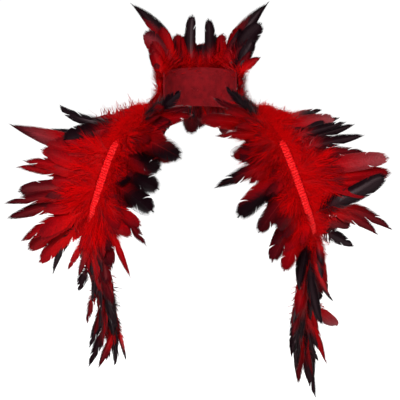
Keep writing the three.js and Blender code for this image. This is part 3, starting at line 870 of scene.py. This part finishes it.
OUTER_ROWS = {
    "right": [
        (1.8, 104, 30, 8, 8, 6, 34, -36, "red", "loose"),
        (2.2, 114, 32, 22, 6, 8, 34, -36, "red", "loose"),
        (2.6, 132, 20, 70, -86, 12, 0, -30, "black", "hackle"),
        (3.0, 92, 34, 54, -6, 22, 22, -24, "dark", "broad"),
        (3.4, 130, 12, 18, -8, 16, 10, -16, "black", "hackle"),
        (4.2, 172, 30, 4, -4, 14, 8, 0, "veined", "horn"),
        (4.6, 94, 24, 8, 4, 10, 8, 0, "rose", "broad"),
        (4.9, 126, 22, 8, 6, 16, 10, 0, "red", "hackle"),
        (5.2, 142, 22, 8, 8, 8, 6, 0, "red", "hackle"),
        (5.6, 130, 30, 20, 6, 14, 8, 0, "wine", "broad"),
        (5.75, 154, 18, 25, 6, 16, 8, 0, "wine", "hackle"),
        (5.9, 168, 24, 32, 8, 8, 6, 0, "wine", "hackle"),
        (6.3, 144, 26, 48, 8, 14, 8, 0, "red", "hackle"),
        (6.6, 150, 26, 52, 6, 8, 6, 0, "red", "broad"),
        (6.8, 132, 28, 60, 6, 14, 8, 0, "red", "broad"),
        (6.95, 124, 16, 54, 40, 20, 16, -16, "black", "hackle"),
    ],
    "left": [
        (1.8, 104, 30, 8, 8, 6, 34, 36, "red", "loose"),
        (2.2, 112, 32, 22, 6, 8, 34, 36, "red", "loose"),
        (2.6, 114, 14, 8, -6, 12, 14, 26, "dipped", "hackle"),
        (2.9, 102, 26, 18, -2, 16, 10, 24, "rose", "broad"),
        (3.2, 112, 16, 8, -6, 12, 6, 16, "dark", "hackle"),
        (3.5, 110, 16, 6, -4, 18, 10, 12, "dark", "hackle"),
        (3.8, 126, 18, 2, -2, 10, 6, 8, "dark", "hackle"),
        (4.1, 126, 20, 6, 4, 16, 10, 0, "dark", "hackle"),
        (4.5, 126, 20, 0, 22, 8, 8, 0, "wine", "hackle"),
        (4.9, 150, 28, 10, 4, 14, 8, 0, "rose", "broad"),
        (5.3, 152, 26, 14, 4, 8, 4, 0, "red", "broad"),
        (6.2, 164, 24, 20, 40, 8, 8, 0, "wine", "hackle"),
        (6.4, 128, 28, -2, -4, 34, 26, 0, "black", "broad"),
        (6.5, 130, 22, 14, 56, 14, 10, 0, "wine", "hackle"),
        (6.9, 90, 22, 46, 6, 10, 8, 0, "black", "hackle"),
    ],
}
ROW_TAPE_ENDS = (0, 7.0)
OUTER_SEEDS = {"right": 301, "left": 302}
OUTER_UNDER, OUTER_TUFTS, OUTER_FLUFF = 44, 36, 0.40
for wearer_side, table in OUTER_ROWS.items():
    draw = np.random.default_rng(OUTER_SEEDS[wearer_side])
    parts = shoulder_row(
        wearer_side, table, 1, ROW_TAPE_ENDS, OUTER_UNDER, OUTER_TUFTS, OUTER_FLUFF, draw
    )
    sew(wearer_side + "_outer_feathers", wearer_side + "_outer_row", parts)

# Inner shoulder feathers
# The strip's other row lies the opposite way, in over the chest: shorter feathers,
# more of them black, again with red fluff along the tape.
INNER_ROWS = {
    "right": [
        (2.3, 78, 30, -14, -76, 34, 10, 50, "black", "ragged"),
        (2.5, 92, 24, -28, -8, 20, 10, 44, "wine", "hackle"),
        (2.9, 104, 26, -30, 2, 12, 10, 34, "red", "hackle"),
        (3.2, 144, 36, 10, 4, 12, 12, 18, "dipped", "broad"),
        (3.6, 114, 28, 6, 4, 8, 6, 10, "red", "broad"),
        (4.1, 100, 36, 0, 6, 16, 12, 0, "half_black", "broad"),
        (4.6, 100, 36, 0, 10, 10, 8, 0, "dark", "broad"),
        (5.1, 104, 36, 2, 14, 14, 12, 0, "dark", "broad"),
        (5.6, 114, 22, 16, 12, 10, 10, -14, "wine", "hackle"),
        (6.2, 124, 14, 22, 12, 14, 8, -22, "red", "hackle"),
        (6.8, 76, 26, 28, 10, 14, 6, -28, "wine", "broad"),
    ],
    "left": [
        (2.3, 72, 20, -56, -4, 36, 8, -48, "black", "ragged"),
        (2.5, 94, 16, -18, -30, 24, 8, -44, "wine", "hackle"),
        (2.8, 130, 24, -16, 0, 14, 10, -34, "red", "broad"),
        (3.3, 128, 18, -6, 4, 18, 12, -20, "red", "hackle"),
        (3.8, 94, 30, -4, 4, 8, 6, -8, "red", "broad"),
        (4.3, 150, 26, 0, 8, 14, 10, 0, "dipped", "hackle"),
        (4.7, 124, 34, 14, 10, 10, 10, 0, "half_black", "broad"),
        (5.3, 104, 26, 16, 10, 16, 12, 10, "wine", "broad"),
        (5.9, 100, 30, 28, 14, 8, 8, 18, "wine", "broad"),
        (6.5, 90, 26, 16, 16, 16, 6, 24, "red", "broad"),
        (6.9, 88, 26, 38, 14, 16, 8, 28, "black", "hackle"),
    ],
}
INNER_SEEDS = {"right": 401, "left": 402}
INNER_UNDER, INNER_TUFTS, INNER_FLUFF = 36, 26, 0.50
THROAT_WISPS = 26
WISP_STRAY, WISP_REACH = (-0.15, 0.2), (2, 10)
for wearer_side, table in INNER_ROWS.items():
    draw = np.random.default_rng(INNER_SEEDS[wearer_side])
    parts = shoulder_row(
        wearer_side, table, -1, ROW_TAPE_ENDS, INNER_UNDER, INNER_TUFTS, INNER_FLUFF, draw
    )
    throat = feather_row(table[0])
    habit = (
        within(30, 62), within(18, 30), about(throat["sweep"], 24), throat["turn"],
        about(throat["lift"], 9), throat["droop"], throat["roll"],
    )
    for _ in range(THROAT_WISPS):
        row = small_feather(throat["at"], habit, throat["lot"], "fluff", draw)
        seat = shoulder_seat(wearer_side, row["at"] + draw.uniform(*WISP_STRAY))
        parts.append(bend_feather(row, seat, -1, draw.uniform(*WISP_REACH) * MM, 0, draw))
    sew(wearer_side + "_inner_feathers", wearer_side + "_inner_row", parts)

# Braid ribbon
# A bright red ribbed braid covers the quills where the two rows meet. It is a flat
# woven trim with crosswise ribs of shiny yarn, sewn on by its edges and cut straight.
RIBBON_WIDTH = 13 * MM
RIBBON_WALL = 1.8 * MM
RIBBON_RAISED = TAPE_WALL / 2 + SEAM_GAP + RIBBON_WALL / 2
RIBBON_ENDS = (1.4, 7.0)
RIB_PITCH = 4.0 * MM
RIB_HEIGHT = 1.0 * MM
RIB_WANDER = 6 * MM
RIBBON_STEP = 0.4 * MM
RIBBON_ACROSS = 12
RIBBON_SAMPLES = 200
RIBBON_SEEDS = {"right": 501, "left": 502}
RIB_HEAVE = (0.55, 1.0)
BRAID_RED = (0.60, 0.003, 0.005, 1)
# Painted shade for the hollows between the ribs and a painted glint for the yarn's highlights.
BRAID_PAINTED_SHADE = (0.20, 0.001, 0.002, 1)
BRAID_PAINTED_GLINT = (0.86, 0.035, 0.035, 1)
BRAID_GLOSS = (1.0, 0.30, 0.26, 1)
YARN_TWIST = (380, 800, 1)


def braid_material():
    """Shiny red yarn: fine twist across each rib, glints where the yarn turns over from lower roughness and a
    painted highlight, with painted shade between the ribs.
    """
    material, nodes, links, shader = new_material("ribbed_braid")
    set_inputs(shader, {"Specular IOR Level": 0.14, "Specular Tint": BRAID_GLOSS})
    place = nodes.new("ShaderNodeUVMap")
    place.uv_map = "braid"
    ribs = nodes.new("ShaderNodeTexWave")
    ribs.bands_direction = "Y"
    set_inputs(
        ribs, {"Scale": WAVE_LENGTH / RIB_PITCH, "Distortion": 5.0, "Detail": 2.0, "Detail Scale": 2.4}
    )
    links.new(place.outputs["UV"], ribs.inputs["Vector"])
    twist = nodes.new("ShaderNodeMapping")
    twist.inputs["Scale"].default_value = YARN_TWIST
    links.new(place.outputs["UV"], twist.inputs["Vector"])
    yarn = nodes.new("ShaderNodeTexNoise")
    set_inputs(yarn, {"Scale": 1.0, "Detail": 2})
    links.new(twist.outputs["Vector"], yarn.inputs["Vector"])
    lay = nodes.new("ShaderNodeMath")
    lay.operation = "MULTIPLY_ADD"
    lay.inputs[1].default_value = 0.35
    links.new(ribs.outputs["Fac"], lay.inputs[0])
    links.new(yarn.outputs["Fac"], lay.inputs[2])
    # The ramp paints shade into the low parts between the ribs and a painted glint onto the brightest yarn.
    ramp = colour_ramp(
        nodes, [(0.42, BRAID_PAINTED_SHADE), (0.66, BRAID_RED), (0.80, BRAID_RED), (0.94, BRAID_PAINTED_GLINT)]
    )
    links.new(lay.outputs[0], ramp.inputs["Fac"])
    links.new(ramp.outputs["Color"], shader.inputs["Base Color"])
    glint = nodes.new("ShaderNodeMapRange")
    set_inputs(glint, {"From Min": 0.35, "From Max": 0.7, "To Min": 0.55, "To Max": 0.22})
    links.new(yarn.outputs["Fac"], glint.inputs["Value"])
    links.new(glint.outputs["Result"], shader.inputs["Roughness"])
    bump = nodes.new("ShaderNodeBump")
    set_inputs(bump, {"Strength": 0.5, "Distance": WEAVE_DEPTH})
    links.new(lay.outputs[0], bump.inputs["Height"])
    links.new(bump.outputs["Normal"], shader.inputs["Normal"])
    return material


ribbed_braid = braid_material()
for wearer_side in SIDES:
    samples = np.linspace(*RIBBON_ENDS, RIBBON_SAMPLES)
    line = [shoulder_seat(wearer_side, a) for a in samples]
    lengths = np.cumsum([0] + [np.linalg.norm(b[0] - a[0]) for a, b in zip(line, line[1:])])
    steps = int(lengths[-1] / RIBBON_STEP)
    ats = np.interp(np.linspace(0, lengths[-1], steps + 1), lengths, samples)
    seats = [shoulder_seat(wearer_side, a) for a in ats]
    draw = np.random.default_rng(RIBBON_SEEDS[wearer_side])
    rib_heave = draw.uniform(*RIB_HEAVE, steps + 2)
    ribbon = bmesh.new()
    bmesh.ops.create_grid(ribbon, x_segments=steps, y_segments=RIBBON_ACROSS, size=1)
    flat = ribbon.verts.layers.float_vector.new("flat")
    for vert in ribbon.verts:
        step, across = round((vert.co.x + 1) / 2 * steps), vert.co.y
        place, along, face, wide = seats[step]
        run = step * RIBBON_STEP
        rib = int(run / RIB_PITCH)
        sway = run / RIB_WANDER
        wander = 0.45 * math.sin(sway + 2 * across) + 0.35 * math.sin(2.7 * sway - 4 * across)
        ridge = abs(math.sin(math.pi * (run / RIB_PITCH + wander))) ** 0.7
        crown = (1 - across**4) * (0.35 + 0.65 * ridge * rib_heave[rib])
        edge = 1 - 0.10 * (1 - ridge) * rib_heave[rib + 1]
        vert[flat] = (across * RIBBON_WIDTH / 2, run, 0)
        vert.co = (
            place + across * edge * RIBBON_WIDTH / 2 * wide
            + (RIBBON_RAISED + RIBBON_WALL / 2 - RIB_HEIGHT + RIB_HEIGHT * crown) * face
        )
    top = ribbon.faces[:]
    uv = ribbon.loops.layers.uv.new("braid")
    for face in top:
        face.smooth = True
    ribbon.normal_update()
    if sum(f.normal.dot(Vector(seats[steps // 2][2])) for f in top) < 0:
        bmesh.ops.reverse_faces(ribbon, faces=top)
    bmesh.ops.solidify(ribbon, geom=top, thickness=RIBBON_WALL - RIB_HEIGHT)
    for face in ribbon.faces:
        for loop in face.loops:
            loop[uv].uv = loop.vert[flat][:2]
    ribbon_mesh = bpy.data.meshes.new(wearer_side + "_braid")
    ribbon.to_mesh(ribbon_mesh)
    ribbon.free()
    ribbon_mesh.materials.append(ribbed_braid)
    braid = bpy.data.objects.new(wearer_side + "_braid", ribbon_mesh)
    bpy.context.collection.objects.link(braid)
    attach(braid, "root")
    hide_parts(wearer_side + "_ribbon")

# Side tails
# Below the braid each strip runs on as a loose tail down the side: feathers sewn to
# both edges of a broader tape, lying down along it, shorter and more of them black.
TAIL_TAPE_ENDS = (6.8, 11)
TAIL_SINK = -2.0 * MM
TAILS = {
    # a feather on the inner edge, then one on the outer edge, and so on
    "right": [
        (7.2, 84, 26, 52, 4, 12, 2, -34, "wine", "broad"),
        (7.6, 66, 20, 92, 4, 14, 6, -24, "red", "hackle"),
        (8.0, 96, 26, 56, 4, 12, 4, -46, "wine", "hackle"),
        (8.4, 70, 22, 98, 6, 42, 4, -46, "dark", "ragged"),
        (8.8, 96, 26, 62, 4, 16, 4, -32, "dark", "hackle"),
        (9.2, 86, 16, 116, 6, 42, 4, -46, "wine", "ragged"),
        (9.6, 96, 24, 78, 4, 14, 4, -24, "black", "hackle"),
        (10.0, 70, 16, 110, 6, 42, 4, -46, "wine", "hackle"),
        (10.4, 98, 18, 84, 4, 16, 4, -24, "black", "broad"),
        (10.7, 96, 18, 92, 6, 42, 4, -46, "dark", "hackle"),
        (10.9, 76, 16, 66, 4, 46, 4, -40, "wine", "hackle"),
        (10.2, 92, 18, 84, 6, 36, 4, -46, "black", "hackle"),
        (9.2, 90, 24, 72, 4, 12, 4, -28, "black", "hackle"),
    ],
    "left": [
        (7.2, 144, 18, 50, 50, 22, 14, 32, "black", "hackle"),
        (7.6, 76, 24, 104, 4, 24, 6, 30, "red", "broad"),
        (8.0, 96, 26, 44, 4, 16, 4, 46, "red", "hackle"),
        (8.4, 70, 22, 110, 4, 28, 4, 46, "dipped", "broad"),
        (8.8, 100, 26, 44, 4, 16, 4, 46, "wine", "hackle"),
        (10.1, 80, 26, 60, -8, 36, 4, 46, "rose", "broad"),
        (9.6, 98, 26, 38, 4, 16, 4, 46, "dark", "hackle"),
        (10.0, 112, 16, 102, -4, 32, 6, 46, "red", "hackle"),
        (10.4, 108, 18, 66, 0, 12, 4, 46, "wine", "hackle"),
        (10.7, 98, 18, 98, 2, 20, 6, 46, "dark", "hackle"),
        (10.9, 110, 20, 76, 0, 24, 4, 46, "dark", "hackle"),
        (9.7, 84, 14, 98, 0, 28, 4, 46, "red", "hackle"),
        (10.1, 100, 18, 54, 4, 14, 4, 46, "dark", "hackle"),
    ],
}
TAIL_SEEDS = {"right": 601, "left": 602}
TAIL_TAPE_SEATS = 41
TAIL_ROLL = {"right": -40, "left": 40}
TAIL_DARKENS = 8.6
TAIL_FLUFF_RAISED = TAIL_SINK + 1 * MM
TAIL_UNDER, TAIL_UNDER_ENDS, TAIL_UNDER_REACH = 70, (7.0, 10.9), (2, 8)
TAIL_UNDER_LIFTS = (12, 28)
TAIL_UNDER_LOTS = (
    {"red": 0.5, "wine": 0.35, "dipped": 0.15},
    {"red": 0.15, "wine": 0.40, "dipped": 0.20, "dark": 0.25},
    {"wine": 0.15, "dipped": 0.35, "dark": 0.5},
)
TAIL_FLUFF, TAIL_FLUFF_ENDS, TAIL_FLUFF_REACH = 480, (6.9, 10.9), (-6, 4)
TAIL_FLUFF_HABIT = (within(26, 52), within(12, 22), about(74, 14), about(4, 12), within(4, 22), within(0, 22))
TAIL_FLUFF_LOTS = (
    {"down": 0.5, "red": 0.3, "wine": 0.2},
    {"down": 0.05, "red": 0.35, "wine": 0.4, "dark": 0.2},
    {"red": 0.1, "wine": 0.3, "dark": 0.6},
)
TAIL_STRANDS, STRAND_ENDS, STRAND_REACH = 44, (7.5, 10.8), (-8, 8)
STRAND_HABIT = (within(56, 88), within(9, 14), about(90, 9), about(0, 8), within(8, 24), within(2, 14))
STRAND_LOTS = (
    {"red": 0.45, "wine": 0.40, "dark": 0.15},
    {"red": 0.10, "wine": 0.45, "dark": 0.45},
)


def tail_lots(lots, at, edge):
    """The dye lots at a place: those of the top, of the lower end, or of its inner edge."""
    if at < TAIL_DARKENS:
        return lots[0]
    return lots[-1] if edge == -1 else lots[1]


for wearer_side, table in TAILS.items():
    draw = np.random.default_rng(TAIL_SEEDS[wearer_side])
    seats = [shoulder_seat(wearer_side, a) for a in np.linspace(*TAIL_TAPE_ENDS, TAIL_TAPE_SEATS)]
    parts = [tape(seats, -TAPE_WIDTH, TAPE_WIDTH, TAIL_SINK - TAPE_WALL / 2, TAPE_WALL)]
    roll = about(TAIL_ROLL[wearer_side], 16)
    for index, values in enumerate(table):
        row = feather_row(values)
        edge = 1 if index % 2 else -1
        seat = shoulder_seat(wearer_side, row["at"])
        parts.append(bend_feather(row, seat, edge, QUILL_REACH, TAIL_SINK, draw))
    for at in along_row(TAIL_UNDER, *TAIL_UNDER_ENDS, draw):
        edge = draw.choice((-1, 1))
        like = between(table[1::2] if edge == 1 else table[::2], at)
        length, width, top = like["length"], like["width"], like["lift"]
        habit = (
            within(0.55 * length, 0.9 * length), within(0.40 * width, 0.65 * width),
            about(like["sweep"], 12), about(like["turn"], 10),
            lambda d: min(top, d.choice(TAIL_UNDER_LIFTS)) + d.uniform(-4, 8),
            about(like["droop"] + 2, 5), about(like["roll"], 14),
        )
        row = small_feather(at, habit, tail_lots(TAIL_UNDER_LOTS, at, edge), "slim", draw)
        reach = draw.uniform(*TAIL_UNDER_REACH) * MM
        parts.append(bend_feather(row, shoulder_seat(wearer_side, at), edge, reach, TAIL_SINK, draw))
    for at in along_row(TAIL_FLUFF, *TAIL_FLUFF_ENDS, draw):
        edge = draw.choice((-1, 1))
        lots = tail_lots(TAIL_FLUFF_LOTS, at, edge)
        row = small_feather(at, (*TAIL_FLUFF_HABIT, roll), lots, "fluff", draw)
        reach = draw.uniform(*TAIL_FLUFF_REACH) * MM
        parts.append(bend_feather(row, shoulder_seat(wearer_side, at), edge, reach, TAIL_FLUFF_RAISED, draw))
    for at in along_row(TAIL_STRANDS, *STRAND_ENDS, draw):
        row = small_feather(at, (*STRAND_HABIT, roll), tail_lots(STRAND_LOTS, at, 1), "slim", draw)
        reach = draw.uniform(*STRAND_REACH) * MM
        parts.append(bend_feather(row, shoulder_seat(wearer_side, at), 1, reach, TAIL_FLUFF_RAISED, draw))
    sew(wearer_side + "_tail_feathers", wearer_side + "_tail", parts)

# Studio and camera
# A seamless white sweep well below the cape, wide soft lamps and a bright surround,
# seen by a long lens a little above the shoulders.
SWEEP_DEPTH = -1.0
SWEEP_SIZE = 80.0
PAPER_WHITE, PAPER_GLOW = (0.93, 0.93, 0.93, 1), 0.75
SURROUND_STRENGTH = 0.30
CAMERA_TARGET = Vector((0, -0.0297, -0.1286))
CAMERA_ELEVATION = math.radians(13)
CAMERA_DISTANCE = 2.2
CAMERA_LENS = 132

sweep = bmesh.new()
bmesh.ops.create_grid(sweep, x_segments=1, y_segments=1, size=SWEEP_SIZE / 2)
bmesh.ops.translate(sweep, verts=sweep.verts[:], vec=(0, 0, SWEEP_DEPTH))
sweep_mesh = bpy.data.meshes.new("studio_sweep")
sweep.to_mesh(sweep_mesh)
sweep.free()
paper, _, _, shader = new_material("studio_paper")
set_inputs(shader, {"Base Color": PAPER_WHITE, "Roughness": 0.9})
set_inputs(shader, {"Emission Color": (1, 1, 1, 1), "Emission Strength": PAPER_GLOW})
sweep_mesh.materials.append(paper)
sweep_piece = bpy.data.objects.new("studio_sweep", sweep_mesh)
bpy.context.collection.objects.link(sweep_piece)

LAMPS = [
    # name, place, size, power
    ("key_lamp", (-0.9, -2.4, 1.6), 1.0, 102),
    ("fill_lamp", (1.9, -1.8, 0.7), 1.6, 27),
    ("back_lamp", (0.3, 2.2, 1.8), 1.8, 20),
]
for name, place, size, power in LAMPS:
    lamp = bpy.data.lights.new(name, "AREA")
    lamp.size = size
    lamp.energy = power
    holder = bpy.data.objects.new(name, lamp)
    holder.location = place
    holder.rotation_euler = (CAMERA_TARGET - Vector(place)).to_track_quat("-Z", "Y").to_euler()
    bpy.context.collection.objects.link(holder)

scene = bpy.context.scene
scene.world = bpy.data.worlds.new("bright_surround")
scene.world.use_nodes = True
set_inputs(
    scene.world.node_tree.nodes["Background"], {"Color": (1, 1, 1, 1), "Strength": SURROUND_STRENGTH}
)
scene.view_settings.view_transform = "Standard"

look = Vector((0, math.cos(CAMERA_ELEVATION), -math.sin(CAMERA_ELEVATION)))
lens = bpy.data.cameras.new("camera")
lens.lens = CAMERA_LENS
lens.sensor_width = 36
camera = bpy.data.objects.new("camera", lens)
camera.location = CAMERA_TARGET - look * CAMERA_DISTANCE
camera.rotation_euler = (math.pi / 2 - CAMERA_ELEVATION, 0, 0)
bpy.context.collection.objects.link(camera)
scene.camera = camera
